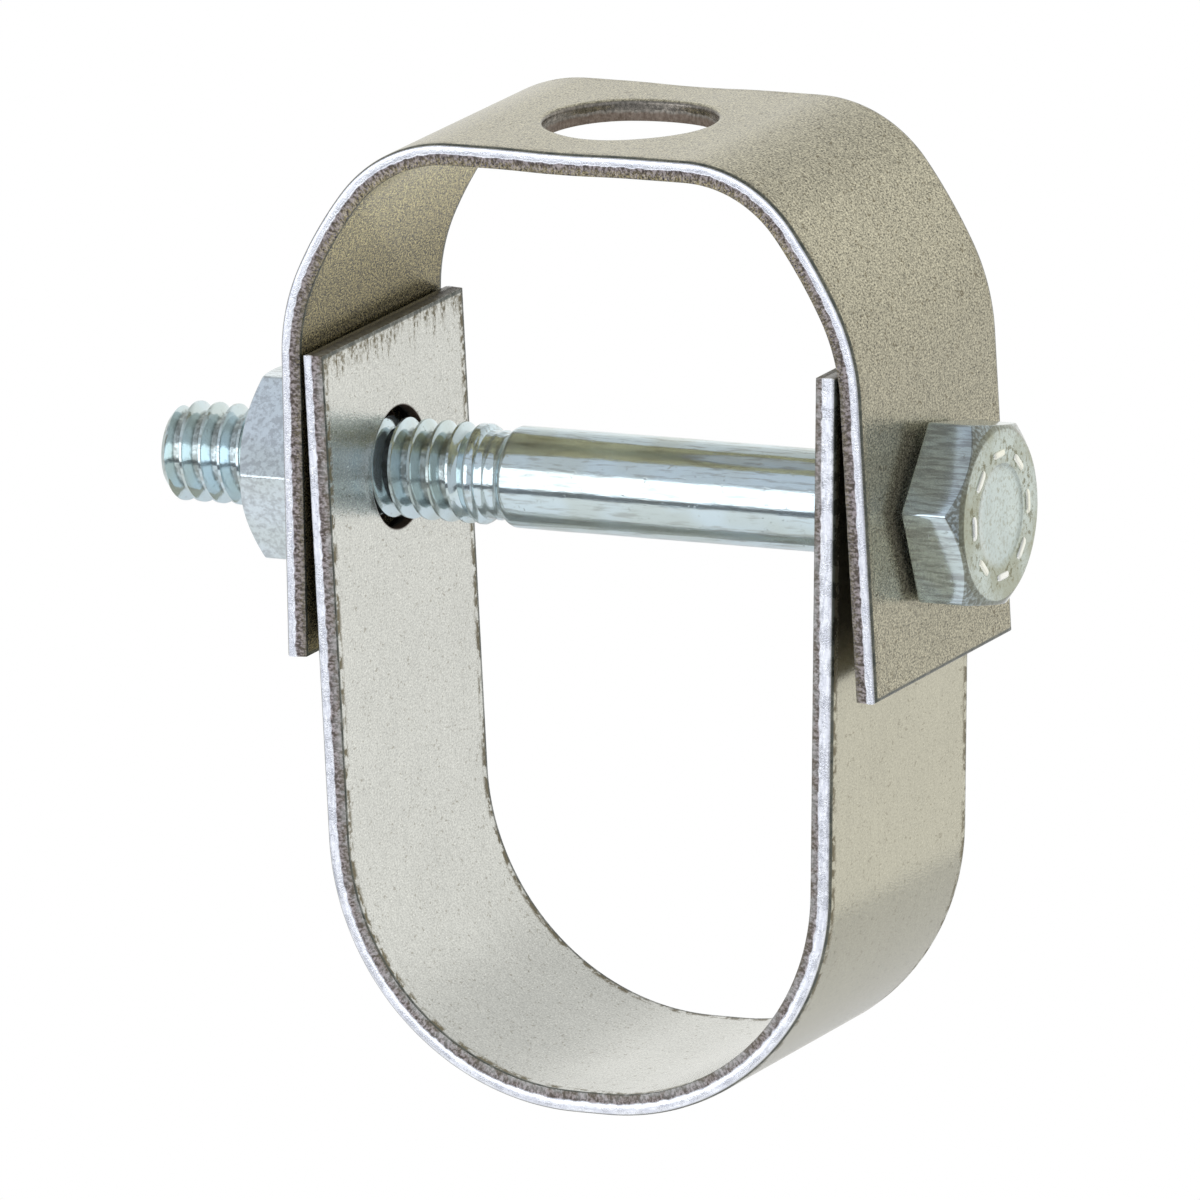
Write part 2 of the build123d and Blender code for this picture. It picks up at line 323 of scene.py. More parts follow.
midGrey = (0.5, 0.5, 0.5, 1)
sheetDirtAndShade = dict(speck=(0.15, 0.125, 0.07, 1), stain=(0.155, 0.13, 0.07, 1), paintedShade=(0.085, 0.075, 0.05, 1))
shearColors = dict(
    landDull=(0.70, 0.72, 0.79, 1), landBright=(0.90, 0.92, 0.97, 1),
    tornDark=(0.045, 0.033, 0.03, 1), tornPale=(0.30, 0.265, 0.275, 1),
    endDark=(0.04, 0.034, 0.028, 1), endPale=(0.11, 0.10, 0.085, 1),
    boltHoleShadeDark=(0.020, 0.018, 0.015, 1), boltHoleShadePale=(0.06, 0.052, 0.042, 1),
    rodHoleDark=(0.15, 0.14, 0.12, 1), rodHolePale=(0.33, 0.30, 0.26, 1),
    holeRust=(0.12, 0.06, 0.03, 1), rollReflectionLine=(0.075, 0.085, 0.075, 1))
zincColors = dict(
    pit=(0.17, 0.15, 0.11, 1), drawn=(0.30, 0.30, 0.26, 1), paintedShade=(0.065, 0.065, 0.042, 1),
    mottle=(0.20, 0.185, 0.19, 1), film=(0.33, 0.34, 0.235, 1), fleck=(0.26, 0.24, 0.14, 1),
    chamfer=(0.15, 0.15, 0.11, 1), dirt=(0.17, 0.155, 0.07, 1))
noHead = 1000.0  # place of the head's face where a piece has none


# Coated sheet: two-scale grain, sparse specks, stains along the borders, and scuffs and painted shade at the ends.
# Stock is the place on the flat sheet in mm: along, across, height.
def sheetGroup():
    tree, g, out = newGroup("coatedSheet", [
        ("Stock", "Vector", None), ("Face", "Color", midGrey), ("Back", "Color", midGrey),
        ("Grain", "Float", 0.2), ("Back Grain", "Float", 1.0), ("Specks", "Float", 0.5), ("Stain", "Float", 0.5),
        ("Low End", "Float", -40.0), ("High End", "Float", 40.0), ("Low Rub", "Float", -40.0),
        ("High Rub", "Float", 40.0), ("Rub Length", "Float", 5.0), ("Rub Face", "Float", 0.0),
        ("Rub Back", "Float", 0.0), ("Rough", "Float", 0.26)],
        [("Color", "Color"), ("Roughness", "Float"), ("Height", "Float"), ("Stained", "Float")])
    stock = g["Stock"]
    s, y, h = split(tree, stock)
    backSide = ramp(tree, h, 0.3, -0.3)
    base = blendColor(tree, backSide, g["Face"], g["Back"])
    fine = noise(tree, stock, 9.0, 2.0, 0.6, (1.0, 0.6, 1.0))
    mid = noise(tree, stock, 1.6, 3.0, 0.55)
    slow = noise(tree, stock, 0.16, 2.0, 0.5)
    rolled = noise(tree, stock, 1.4, 3.0, 0.6, (0.12, 1.0, 1.0))
    spread = swing(tree, fine, 4.2, swing(tree, mid, 0.8))
    grain = calc(tree, "MULTIPLY_ADD", calc(tree, "SUBTRACT", g["Back Grain"], 1.0), backSide, 1.0)
    light = calc(tree, "MULTIPLY_ADD", spread, calc(tree, "MULTIPLY", grain, g["Grain"]), 1.0)
    light = swing(tree, rolled, 0.10, swing(tree, slow, 0.14, light))
    grey = tree.nodes.new("ShaderNodeCombineColor")
    for socket in grey.inputs:
        put(tree, socket, light)
    color = blendColor(tree, 1.0, base, grey.outputs[0], "MULTIPLY")
    # olive specks where a fine noise peaks
    specks = ramp(tree, noise(tree, stock, 3.6, 2.0, 0.7, (1.0, 0.6, 1.0)), 0.62, 0.70)
    color = blendColor(tree, calc(tree, "MULTIPLY", specks, g["Specks"]), color, sheetDirtAndShade["speck"])
    # broken stain lines just inside both borders
    border = calc(tree, "SUBTRACT", sheet["halfWidth"], calc(tree, "ABSOLUTE", y))
    wander = noise(tree, stock, 1.1, 4.0, 0.65)
    line = ramp(tree, swing(tree, wander, 1.3, border), 0.98, 0.62)
    line = calc(tree, "MULTIPLY", line, ramp(tree, wander, 0.44, 0.56))
    # scuffs near the two ends, drawn out along the strap
    endGap = calc(tree, "MINIMUM", calc(tree, "SUBTRACT", s, g["Low End"]), calc(tree, "SUBTRACT", g["High End"], s))
    streak = noise(tree, stock, 1.0, 5.0, 0.7, (0.45, 2.1, 1.0))
    scuff = calc(tree, "MULTIPLY", ramp(tree, swing(tree, streak, -9.0, endGap), 1.5, 0.1), backSide)
    scuff = calc(tree, "MULTIPLY", scuff, ramp(tree, noise(tree, stock, 3.4, 3.0, 0.65), 0.36, 0.62))
    stained = calc(tree, "MULTIPLY", calc(tree, "MAXIMUM", line, scuff), g["Stain"], clamp=True)
    color = blendColor(tree, stained, color, sheetDirtAndShade["stain"])
    # painted shade between the overlapping straps, deepening from where it starts towards each end
    low = calc(tree, "DIVIDE", calc(tree, "SUBTRACT", g["Low Rub"], s), g["Rub Length"])
    high = calc(tree, "DIVIDE", calc(tree, "SUBTRACT", s, g["High Rub"]), g["Rub Length"])
    shadeReach = swing(tree, mid, 0.5, calc(tree, "MAXIMUM", low, high))
    sides = calc(tree, "MULTIPLY_ADD", calc(tree, "SUBTRACT", g["Rub Back"], g["Rub Face"]), backSide, g["Rub Face"])
    shaded = calc(tree, "MULTIPLY", ramp(tree, shadeReach, 0.0, 1.0), sides)
    color = blendColor(tree, shaded, color, sheetDirtAndShade["paintedShade"])
    rough = calc(tree, "MULTIPLY_ADD", spread, 0.10, g["Rough"])
    rough = calc(tree, "MULTIPLY_ADD", stained, 0.22, rough, clamp=True)
    height = calc(tree, "MULTIPLY_ADD", fine, 0.7, calc(tree, "MULTIPLY", mid, 0.3))
    for label, value in (("Color", color), ("Roughness", rough), ("Height", height), ("Stained", stained)):
        tree.links.new(value, out[label])
    return tree


# Sheared edge: a bright burnished band on the outer side, a brown torn band with teeth across it, dark cut
# ends, darker walls in the rod hole, and painted shade on the walls of the bolt holes.
def shearGroup():
    tree, g, out = newGroup("shearedEdge", [
        ("Stock", "Vector", None), ("Wall", "Float", 0.0), ("Color", "Color", None), ("Roughness", "Float", 0.4),
        ("Height", "Float", 0.0), ("Land", "Float", 0.0), ("Land Tilt", "Float", 0.0)],
        [("Color", "Color"), ("Roughness", "Float"), ("Height", "Float"), ("Torn", "Float")])
    stock = g["Stock"]
    s, y, h = split(tree, stock)
    onEdge = ramp(tree, g["Wall"], 0.80, 0.97)
    inHole = ramp(tree, g["Wall"], -0.62, -0.90)
    onWall = calc(tree, "MAXIMUM", onEdge, inHole)
    teeth = noise(tree, stock, 5.5, 3.0, 0.7, (1.0, 1.0, 0.6))
    drawn = noise(tree, stock, 2.6, 3.0, 0.6, (0.4, 1.0, 2.4))
    ragged = noise(tree, stock, 1.5, 4.0, 0.6, (1.0, 1.0, 0.4))
    # the two bands meet at the height -land, raggedly, and land may grow along the strap
    land = calc(tree, "MULTIPLY_ADD", s, g["Land Tilt"], g["Land"])
    front = calc(tree, "ADD", h, swing(tree, ragged, 0.34, land))
    torn = ramp(tree, front, 0.0, -0.12)
    soft = ramp(tree, teeth, 0.35, 0.65)
    bright = blendColor(tree, ramp(tree, drawn, 0.35, 0.65), shearColors["landDull"], shearColors["landBright"])
    dark = blendColor(tree, ramp(tree, teeth, 0.43, 0.60), shearColors["tornDark"], shearColors["tornPale"])
    wallColor = blendColor(tree, torn, bright, dark)
    # the two cut ends have no bright band to speak of
    border = calc(tree, "SUBTRACT", sheet["halfWidth"], calc(tree, "ABSOLUTE", y))
    cutEnd = blendColor(tree, soft, shearColors["endDark"], shearColors["endPale"])
    wallColor = blendColor(tree, ramp(tree, border, 0.08, 0.25), wallColor, cutEnd)
    # painted shade: the walls of the bolt's holes are nearly black, while the rod hole's walls stay paler
    boltHole = blendColor(tree, soft, shearColors["boltHoleShadeDark"], shearColors["boltHoleShadePale"])
    rodHole = blendColor(tree, soft, shearColors["rodHoleDark"], shearColors["rodHolePale"])
    nearMiddle = ramp(tree, calc(tree, "ABSOLUTE", s), 12.0, 9.0)
    hole = blendColor(tree, nearMiddle, boltHole, rodHole)
    rust = calc(tree, "MULTIPLY", ramp(tree, front, -0.1, -0.3), 0.5)
    hole = blendColor(tree, rust, hole, shearColors["holeRust"])
    # painted reflection: a thin dark line where the roll starts
    rollReflectionLine = calc(tree, "MULTIPLY", ramp(tree, g["Wall"], 0.22, 0.48), ramp(tree, g["Wall"], 0.96, 0.80))
    rollReflectionLine = calc(tree, "MULTIPLY", rollReflectionLine, ramp(tree, ragged, 0.38, 0.62, 0.75, 1.0))
    color = blendColor(tree, rollReflectionLine, g["Color"], shearColors["rollReflectionLine"])
    color = blendColor(tree, onEdge, color, wallColor)
    color = blendColor(tree, inHole, color, hole)
    mix = tree.nodes.new("ShaderNodeMix")  # of two numbers: factor, first, second
    for k, value in ((0, onWall), (2, g["Roughness"]), (3, calc(tree, "MULTIPLY_ADD", torn, 0.26, 0.26))):
        put(tree, mix.inputs[k], value)
    bumps = calc(tree, "MULTIPLY", teeth, calc(tree, "MULTIPLY_ADD", torn, 5.0, 0.5))
    height = calc(tree, "MULTIPLY_ADD", onWall, bumps, g["Height"])
    tornWall = calc(tree, "MULTIPLY", onWall, torn)
    for label, value in (("Color", color), ("Roughness", mix.outputs[0]), ("Height", height), ("Torn", tornWall)):
        tree.links.new(value, out[label])
    return tree


# Plated steel: slow drift from blue to yellow-green, fine pits, drawn streaks on the plain shank, painted shade
# in the thread roots, mottled hexagon sides, and a filmed, speckled face with a dull chamfer on the head.
# Place is in metres. Turned is the place along the bolt and the distance from its axis, in mm.
def zincGroup():
    tree, g, out = newGroup("zincPlate", [
        ("Place", "Vector", None), ("Turned", "Vector", None), ("Cut", "Float", 0.0), ("Cool", "Color", midGrey),
        ("Warm", "Color", midGrey), ("Wear", "Float", 0.3), ("Rough", "Float", 0.15), ("Mottle", "Float", 0.4),
        ("Streaky", "Float", 1.0), ("Face", "Float", noHead), ("Face Radius", "Float", 5.0),
        ("Slope", "Float", 0.8)],
        [("Color", "Color"), ("Roughness", "Float"), ("Height", "Float")])
    place = g["Place"]
    x, r = split(tree, g["Turned"])[:2]
    drift = noise(tree, place, 260.0, 2.0, 0.5)
    fine = noise(tree, place, 3600.0, 3.0, 0.6, (0.12, 1.0, 1.0))
    pits = ramp(tree, noise(tree, place, 2300.0, 3.0, 0.7), 0.62, 0.72)
    color = blendColor(tree, ramp(tree, drift, 0.35, 0.65), g["Cool"], g["Warm"])
    color = blendColor(tree, calc(tree, "MULTIPLY", pits, g["Wear"]), color, zincColors["pit"])
    plain = calc(tree, "MULTIPLY", ramp(tree, g["Cut"], 0.05, 0.0), ramp(tree, r, 3.5, 3.3))
    drawn = calc(tree, "MULTIPLY", ramp(tree, fine, 0.50, 0.66, 0.0, 0.45), plain)
    color = blendColor(tree, drawn, color, zincColors["drawn"])
    # painted shade in the thread roots, made patchy by a noise
    rootShadePatches = ramp(tree, noise(tree, place, 1900.0, 3.0, 0.65), 0.35, 0.62, 0.08, 0.6)
    paintedShade = calc(tree, "MULTIPLY", ramp(tree, g["Cut"], 0.74, 1.0), rootShadePatches)
    color = blendColor(tree, paintedShade, color, zincColors["paintedShade"])
    # the hexagons' sides are mottled, and streaked along the bolt on its head
    streaks = noise(tree, place, 4600.0, 3.0, 0.65, (0.12, 1.0, 1.0))
    spots = noise(tree, place, 2600.0, 3.0, 0.7)
    flats = calc(tree, "MULTIPLY_ADD", calc(tree, "SUBTRACT", streaks, spots), g["Streaky"], spots)
    mottle = calc(tree, "MULTIPLY", ramp(tree, flats, 0.42, 0.62), ramp(tree, r, 4.5, 5.0))
    color = blendColor(tree, calc(tree, "MULTIPLY", mottle, g["Mottle"]), color, zincColors["mottle"])
    # olive film and flecks on the head's face, thinner in its recess
    onFace = calc(tree, "GREATER_THAN", x, calc(tree, "SUBTRACT", g["Face"], 0.2))
    film = calc(tree, "MULTIPLY", ramp(tree, drift, 0.64, 0.40, 0.35, 1.0), onFace)
    film = calc(tree, "MULTIPLY", film, ramp(tree, r, 2.6, 3.4, 0.42, 0.85))
    color = blendColor(tree, film, color, zincColors["film"])
    flecks = calc(tree, "MULTIPLY", ramp(tree, spots, 0.54, 0.64, 0.0, 0.45), onFace)
    color = blendColor(tree, flecks, color, zincColors["fleck"])
    # dull chamfer: where (radius - face radius) * slope reaches the depth below the face
    below = calc(tree, "SUBTRACT", x, g["Face"])
    level = calc(tree, "MULTIPLY_ADD", calc(tree, "SUBTRACT", r, g["Face Radius"]), g["Slope"], below)
    chamfer = calc(tree, "MULTIPLY", ramp(tree, level, -0.10, -0.03), ramp(tree, flats, 0.35, 0.6, 0.45, 0.8))
    color = blendColor(tree, chamfer, color, zincColors["chamfer"])
    # dirt caught in the ring of raised dashes
    ring = calc(tree, "MULTIPLY", ramp(tree, r, 2.9, 3.4), ramp(tree, r, 4.9, 4.3))
    dirt = ramp(tree, noise(tree, place, 2200.0, 3.0, 0.7), 0.52, 0.62)
    dirt = calc(tree, "MULTIPLY", dirt, calc(tree, "MULTIPLY", ring, onFace))
    color = blendColor(tree, calc(tree, "MULTIPLY", dirt, 0.7), color, zincColors["dirt"])
    rough = calc(tree, "MULTIPLY_ADD", dirt, 0.25, swing(tree, fine, 0.22, g["Rough"]))
    rough = calc(tree, "MULTIPLY_ADD", paintedShade, 0.15, rough, clamp=True)
    height = calc(tree, "MULTIPLY_ADD", pits, -0.8, fine)
    for label, value in (("Color", color), ("Roughness", rough), ("Height", height)):
        tree.links.new(value, out[label])
    return tree


sheetTree, shearTree, zincTree = sheetGroup(), shearGroup(), zincGroup()
print("shader groups made")


def newMaterial(name):
    material = bpy.data.materials.new(name)
    material.use_nodes = True
    return material, material.node_tree, material.node_tree.nodes["Principled BSDF"]


# Distance is in metres.
def addBump(tree, shader, height, distance, strength):
    node = tree.nodes.new("ShaderNodeBump")
    node.inputs["Distance"].default_value = distance
    node.inputs["Strength"].default_value = strength
    put(tree, node.inputs["Height"], height)
    tree.links.new(node.outputs[0], shader.inputs["Normal"])


def strapMaterial(name, stock, line):
    material, tree, shader = newMaterial(name)
    place = attribute(tree, "stock")["Vector"]
    # the painted shade between the straps starts where the legs pass this height
    shadeLow, shadeHigh = atHeight(line, stock["shadeFrom"])
    skin = useGroup(
        tree, sheetTree, Stock=place, Face=stock["face"], Back=stock["back"], Grain=stock["grain"],
        Back_Grain=stock["backGrain"], Specks=stock["specks"], Stain=stock["stain"],
        Low_End=float(line[0][0]), High_End=float(line[0][-1]), Low_Rub=shadeLow, High_Rub=shadeHigh,
        Rub_Length=stock["shadeLength"], Rub_Face=stock["shadeFace"], Rub_Back=stock["shadeBack"], Rough=stock["rough"])
    edge = useGroup(
        tree, shearTree, Stock=place, Wall=attribute(tree, "wall")["Fac"], Color=skin["Color"],
        Roughness=skin["Roughness"], Height=skin["Height"], Land=stock["land"], Land_Tilt=stock["landTilt"])
    tree.links.new(edge["Color"], shader.inputs["Base Color"])
    tree.links.new(edge["Roughness"], shader.inputs["Roughness"])
    # stains and the torn band are less metallic
    metal = calc(tree, "MULTIPLY_ADD", skin["Stained"], -0.4, stock["metallic"], clamp=True)
    metal = calc(tree, "MULTIPLY_ADD", edge["Torn"], -0.6, metal, clamp=True)
    tree.links.new(metal, shader.inputs["Metallic"])
    addBump(tree, shader, edge["Height"], 0.00004, 0.35)
    return material


def zincMaterial(name, finish, **headFace):
    material, tree, shader = newMaterial(name)
    plate = useGroup(
        tree, zincTree, Place=tree.nodes.new("ShaderNodeTexCoord").outputs["Object"],
        Turned=attribute(tree, "turned")["Vector"], Cut=attribute(tree, "cut")["Fac"], Cool=finish["cool"],
        Warm=finish["warm"], Wear=finish["wear"], Rough=finish["rough"], Mottle=finish["mottle"],
        Streaky=finish["streaky"], **headFace)
    tree.links.new(plate["Color"], shader.inputs["Base Color"])
    tree.links.new(plate["Roughness"], shader.inputs["Roughness"])
    shader.inputs["Metallic"].default_value = 0.9
    addBump(tree, shader, plate["Height"], 0.00002, 0.3)
    return material


# Upper strap. Its plate dips in the middle by dip over dipHalf each way, and each side then goes: flat plate,
# crown arc, wide flank arc up to flankEnd degrees, hip arc, and a straight leg splayed off upright.
upperStock = dict(
    dip=0.08, dipHalf=2.4, hip=12.9, flankEnd=64.0, foot=boltZ - 9.65, blend=0.8, seed=11,
    right=dict(plate=8.05, crown=8.5, crownTurn=54.4, flank=5.5, splay=1.4),
    left=dict(plate=7.4, crown=9.4, crownTurn=51.3, flank=5.7, splay=0.95),
    boltHole=3.67, boltSquare=5.6, rodHole=5.23, rodSquare=7.6,
    face=(0.413, 0.388, 0.288, 1), back=(0.478, 0.41, 0.205, 1), grain=0.95, backGrain=2.3, specks=0.9,
    stain=0.3, rough=0.25, metallic=0.8, land=-0.10, landTilt=0.0,
    # painted shade between the straps: starting height, length, and depth on the outer and the inner face
    shadeFrom=-3.5, shadeLength=10.5, shadeFace=0.19, shadeBack=0.68)


def upperPath(side):
    half = sheet["thick"] / 2
    stock = upperStock
    # the dip turns up first and back again: radius = (dipHalf squared + half the dip squared) / dip
    dipRadius = (stock["dipHalf"] ** 2 + (stock["dip"] / 2) ** 2) / stock["dip"]
    dipTurn = math.degrees(math.asin(stock["dipHalf"] / dipRadius))
    flankTurn = stock["flankEnd"] - side["crownTurn"]
    flankRadius = side["flank"] / math.radians(flankTurn) - half
    steps = [
        arcStep(dipRadius, -dipTurn), arcStep(dipRadius, dipTurn), (side["plate"] - 2 * stock["dipHalf"], 0.0),
        arcStep(side["crown"] - half, side["crownTurn"]), arcStep(flankRadius, flankTurn),
        arcStep(stock["hip"] - half, 90 - side["splay"] - stock["flankEnd"])]
    return strapHalf(steps, stock["foot"], 0.0, -1)


upperLine = centreLine(upperPath(upperStock["right"]), upperPath(upperStock["left"]), 0.0, upperStock["blend"])
upperLeft, upperRight = atHeight(upperLine, boltZ)
upper = makeStrap("upperStrap", upperLine, 1, [
    (upperLeft, upperStock["boltSquare"], upperStock["boltHole"]),
    (0.0, upperStock["rodSquare"], upperStock["rodHole"]),
    (upperRight, upperStock["boltSquare"], upperStock["boltHole"])], upperStock["seed"])
upper.data.materials.append(strapMaterial("upperZinc", upperStock, upperLine))

# Lower strap: a flat in the middle of the saddle, then on each side an arc and a straight leg up past the bolt.
lowerStock = dict(
    bottom=boltZ - 35.0 - sheet["thick"] / 2, blend=1.2, seed=12,
    right=dict(radius=14.0, lean=2.7, top=10.0, flat=0.774),
    left=dict(radius=14.5, lean=1.0, top=8.9, flat=1.323),
    boltHole=3.67, boltSquare=5.6,
    face=(0.492, 0.473, 0.374, 1), back=(0.638, 0.646, 0.612, 1), grain=0.24, backGrain=1.2, specks=0.45,
    stain=1.0, rough=0.17, metallic=0.85, land=0.04, landTilt=0.0025,
    # painted shade between the straps: starting height, length, and depth on the outer and the inner face
    shadeFrom=-31.5, shadeLength=5.0, shadeFace=0.9, shadeBack=0.0)


def lowerPath(side):
    steps = [(side["flat"], 0.0), arcStep(side["radius"] + sheet["thick"] / 2, 90 - side["lean"])]
    return strapHalf(steps, boltZ + side["top"], lowerStock["bottom"], 1)


lowerLine = centreLine(
    lowerPath(lowerStock["right"]), lowerPath(lowerStock["left"]), lowerStock["bottom"], lowerStock["blend"])
lowerLeft, lowerRight = atHeight(lowerLine, boltZ)
lower = makeStrap("lowerStrap", lowerLine, -1, [
    (lowerLeft, lowerStock["boltSquare"], lowerStock["boltHole"]),
    (lowerRight, lowerStock["boltSquare"], lowerStock["boltHole"])], lowerStock["seed"])
lower.data.materials.append(strapMaterial("lowerZinc", lowerStock, lowerLine))
print("straps made, bolt holes at", [round(v, 3) for v in (upperLeft, upperRight, lowerLeft, lowerRight)])


# turned pieces: rows of one place and one radius for each column round the bolt's axis

columns = 240
cornerPull = 0.11  # how far the columns crowd to the hexagon's corners
cornerPower = 90  # higher is sharper
turnedSharp = 38


# Column angles, closer together near the six corners: angle = even angle - pull * sin(6 * even angle).
def hexAngles(turn):
    even = np.linspace(0, fullTurn, columns + 1)
    return even - cornerPull * np.sin(6 * even) + math.radians(turn)


# Distance to a hexagon's side with slightly rounded corners: apothem / p-norm of the six cosines.
def hexRadius(phi, across, turn):
    total = np.zeros_like(phi)
    for k in range(6):
        total += np.maximum(np.cos(phi - math.radians(turn + 30 + 60 * k)), 0) ** cornerPower
    return across / 2 / total ** (1 / cornerPower)


# 0 on the crest and 1 in the root: how far this place's phase along the helix is from the crest, with its
# bends a little rounded. The crest takes up an eighth of the pitch and the root a quarter.
def threadCut(x, phi, tip):
    phase = (x - tip) / pitch + (phi + np.pi / 2) / fullTurn
    away = np.abs(phase - np.floor(phase) - 0.5) * 2
    cut = np.clip((away - 0.125) / 0.625, 0, 1)
    return 0.7 * cut + 0.3 * cut * cut * (3 - 2 * cut)


# Rows that follow the thread: x = tip + pitch * (turn + phase) - pitch * angle / full turn, cut off at both
# ends. The phases are those where the thread form bends.
def helixRows(low, high, tip, phi):
    phases = np.array([0, 0.06, 0.125, 0.17, 0.24, 0.32, 0.39, 0.4375, 0.5, 0.5625, 0.61, 0.68, 0.76, 0.83,
                       0.875, 0.94])
    first = int(np.floor((low - tip) / pitch)) - 1
    last = int(np.ceil((high - tip) / pitch)) + 2
    turns = (np.arange(first, last)[:, None] + phases[None, :]).ravel()
    x = tip + pitch * turns[:, None] - pitch * (phi[None, :] + np.pi / 2) / fullTurn
    x = np.clip(x, low, high)
    used = np.flatnonzero((x.max(1) > low) & (x.min(1) < high))
    return x[max(0, used[0] - 1):used[-1] + 2]


# Closed surface of rows by columns: y = -r cos, z = axis + r sin. The last row joins the first in a
# ring-shaped piece, and else both ends close on the axis.
def gridMesh(name, rows, phi, ring=False):
    xs, rs, cut = (np.array([row[k] for row in rows]) for k in range(3))
    points = np.stack([xs, -rs * np.cos(phi), boltZ + rs * np.sin(phi)], -1).reshape(-1, 3)
    index = np.arange(xs.size).reshape(xs.shape)
    if ring:
        index = np.vstack([index, index[:1]])
    faces = np.stack([index[:-1, :-1], index[1:, :-1], index[1:, 1:], index[:-1, 1:]], -1).reshape(-1, 4)
    turned = np.stack([xs.ravel(), rs.ravel(), 0 * xs.ravel()], -1)
    return meshObject(name, points, faces, {"turned": turned, "cut": cut.ravel()}, turnedSharp)


# Adds (place, radius, cut) to rows, each spread over all columns.
def addRow(rows, phi, x, r, cut=0.0):
    rows.append(tuple(np.zeros_like(phi) + value for value in (x, r, cut)))


# Bolt, from its tip to the recess in its head.
boltTurns = dict(
    tip=-30.9716, bearing=19.8284, threadLength=21.0, crest=3.025, depth=0.687, runOut=1.5, tipChamfer=0.55,
    tipDish=0.12, dishRadius=2.3, neck=2.675, neckLength=1.5, neckRing=0.03, shank=3.075, across=10.7,
    faceShare=0.97, chamfer=38.0, turn=11.3, height=3.7, recess=3.05, recessDepth=0.07,
    cool=(0.69, 0.82, 0.88, 1), warm=(0.63, 0.72, 0.71, 1), wear=0.35, rough=0.12, mottle=0.5, streaky=1.0)
headTop = boltTurns["bearing"] + boltTurns["height"]
headFaceRadius = boltTurns["faceShare"] * boltTurns["across"] / 2
headSlope = math.tan(math.radians(boltTurns["chamfer"]))


def makeBolt():
    b = boltTurns
    phi = hexAngles(b["turn"])
    shoulder = b["tip"] + b["threadLength"]
    rows = []
    # slightly dished tip with a rounded chamfer: dish = depth * (1 - (r / radius) squared)
    for r in (0.0, 1.0, 1.8, 2.2):
        addRow(rows, phi, b["tip"] + b["tipDish"] * (1 - (r / b["dishRadius"]) ** 2), r)
    addRow(rows, phi, b["tip"] + 0.01, 2.36)
    # thread: crest - depth * cut, under the tip's 45 degree cone and running out before the neck
    for x in helixRows(b["tip"] + 0.05, shoulder - 0.35, b["tip"], phi):
        depth = b["depth"] * np.clip((shoulder - 0.5 - x) / b["runOut"], 0, 1) ** 0.7
        cut = threadCut(x, phi, b["tip"])
        cone = np.maximum(b["crest"] - b["tipChamfer"] + (x - b["tip"]), b["crest"] - 0.75)
        addRow(rows, phi, x, np.minimum(b["crest"] - depth * cut, cone), cut * depth / b["depth"])
    for step, r in ((-0.3, b["crest"]), (-0.12, b["crest"] - 0.10), (0, b["neck"] + 0.03)):
        addRow(rows, phi, shoulder + step, r)
    # neck with two faint turning rings: a cosine along its length
    for t in np.linspace(0.06, 0.94, 12):
        addRow(rows, phi, shoulder + t * b["neckLength"], b["neck"] + b["neckRing"] * np.cos(t * 2 * fullTurn))
    start = shoulder + b["neckLength"]
    for step, inset in ((0, 0.33), (0.2, 0.10), (0.4, 0.015)):
        addRow(rows, phi, start + step, b["shank"] - inset)
    # a drawn shank is never quite even: two slow waves of a few thousandths of a millimetre
    for x in np.linspace(start + 0.6, b["bearing"] - 0.35, 60):
        addRow(rows, phi, x, b["shank"] - 0.006 + 0.004 * math.sin(x * 0.9) + 0.002 * math.sin(x * 2.3))
    addRow(rows, phi, b["bearing"] - 0.12, b["shank"] + 0.02)
    addRow(rows, phi, b["bearing"], b["shank"] + 0.15)
    addRow(rows, phi, b["bearing"], headFaceRadius - 0.35)
    addRow(rows, phi, b["bearing"] + 0.01, headFaceRadius - 0.1)
    # hexagon sides with a small round at the bearing
    hexR = hexRadius(phi, b["across"], b["turn"])
    for step, inset in ((0.05, 0.10), (0.10, 0.035), (0.17, 0.008), (0.24, 0.0), (0.6, 0.0), (1.2, 0.0), (1.9, 0.0)):
        addRow(rows, phi, b["bearing"] + step, hexR - inset)
    # the chamfer's border on each column: top - (hexagon's radius - face radius) * slope
    border = headTop - (hexR - headFaceRadius) * headSlope
    for step, inset in ((-0.07, 0.0), (-0.02, 0.006), (0.03, 0.043)):
        addRow(rows, phi, np.minimum(border + step, headTop - 0.01), hexR - inset)
    for drop, r in ((0.05, headFaceRadius + 0.02), (0.01, headFaceRadius - 0.06), (0, headFaceRadius - 0.16),
                    (0, b["recess"] + 0.3), (0, b["recess"] + 0.08), (0.02, b["recess"]),
                    (b["recessDepth"], b["recess"] - 0.1)):
        addRow(rows, phi, headTop - drop, r)
    for r in (2.2, 1.2, 0.0):
        addRow(rows, phi, headTop - b["recessDepth"] - 0.02 * (1 - r / 3), r)
    return gridMesh("steelBolt", rows, phi)


bolt = makeBolt()
bolt.data.materials.append(zincMaterial(
    "boltZinc", boltTurns, Face=headTop, Face_Radius=headFaceRadius, Slope=headSlope))

# Plain raised dashes in a ring on the head's face; their near-white colour is a painted highlight.
dashPads = dict(
    count=8, ring=3.7, long=1.5, wide=0.45, high=0.15, sink=0.01, around=48, over=16, sharp=60,
    cool=(0.95, 0.96, 0.92, 1), warm=(0.92, 0.92, 0.80, 1), wear=0.1, rough=0.3, mottle=0.0, streaky=0.0)


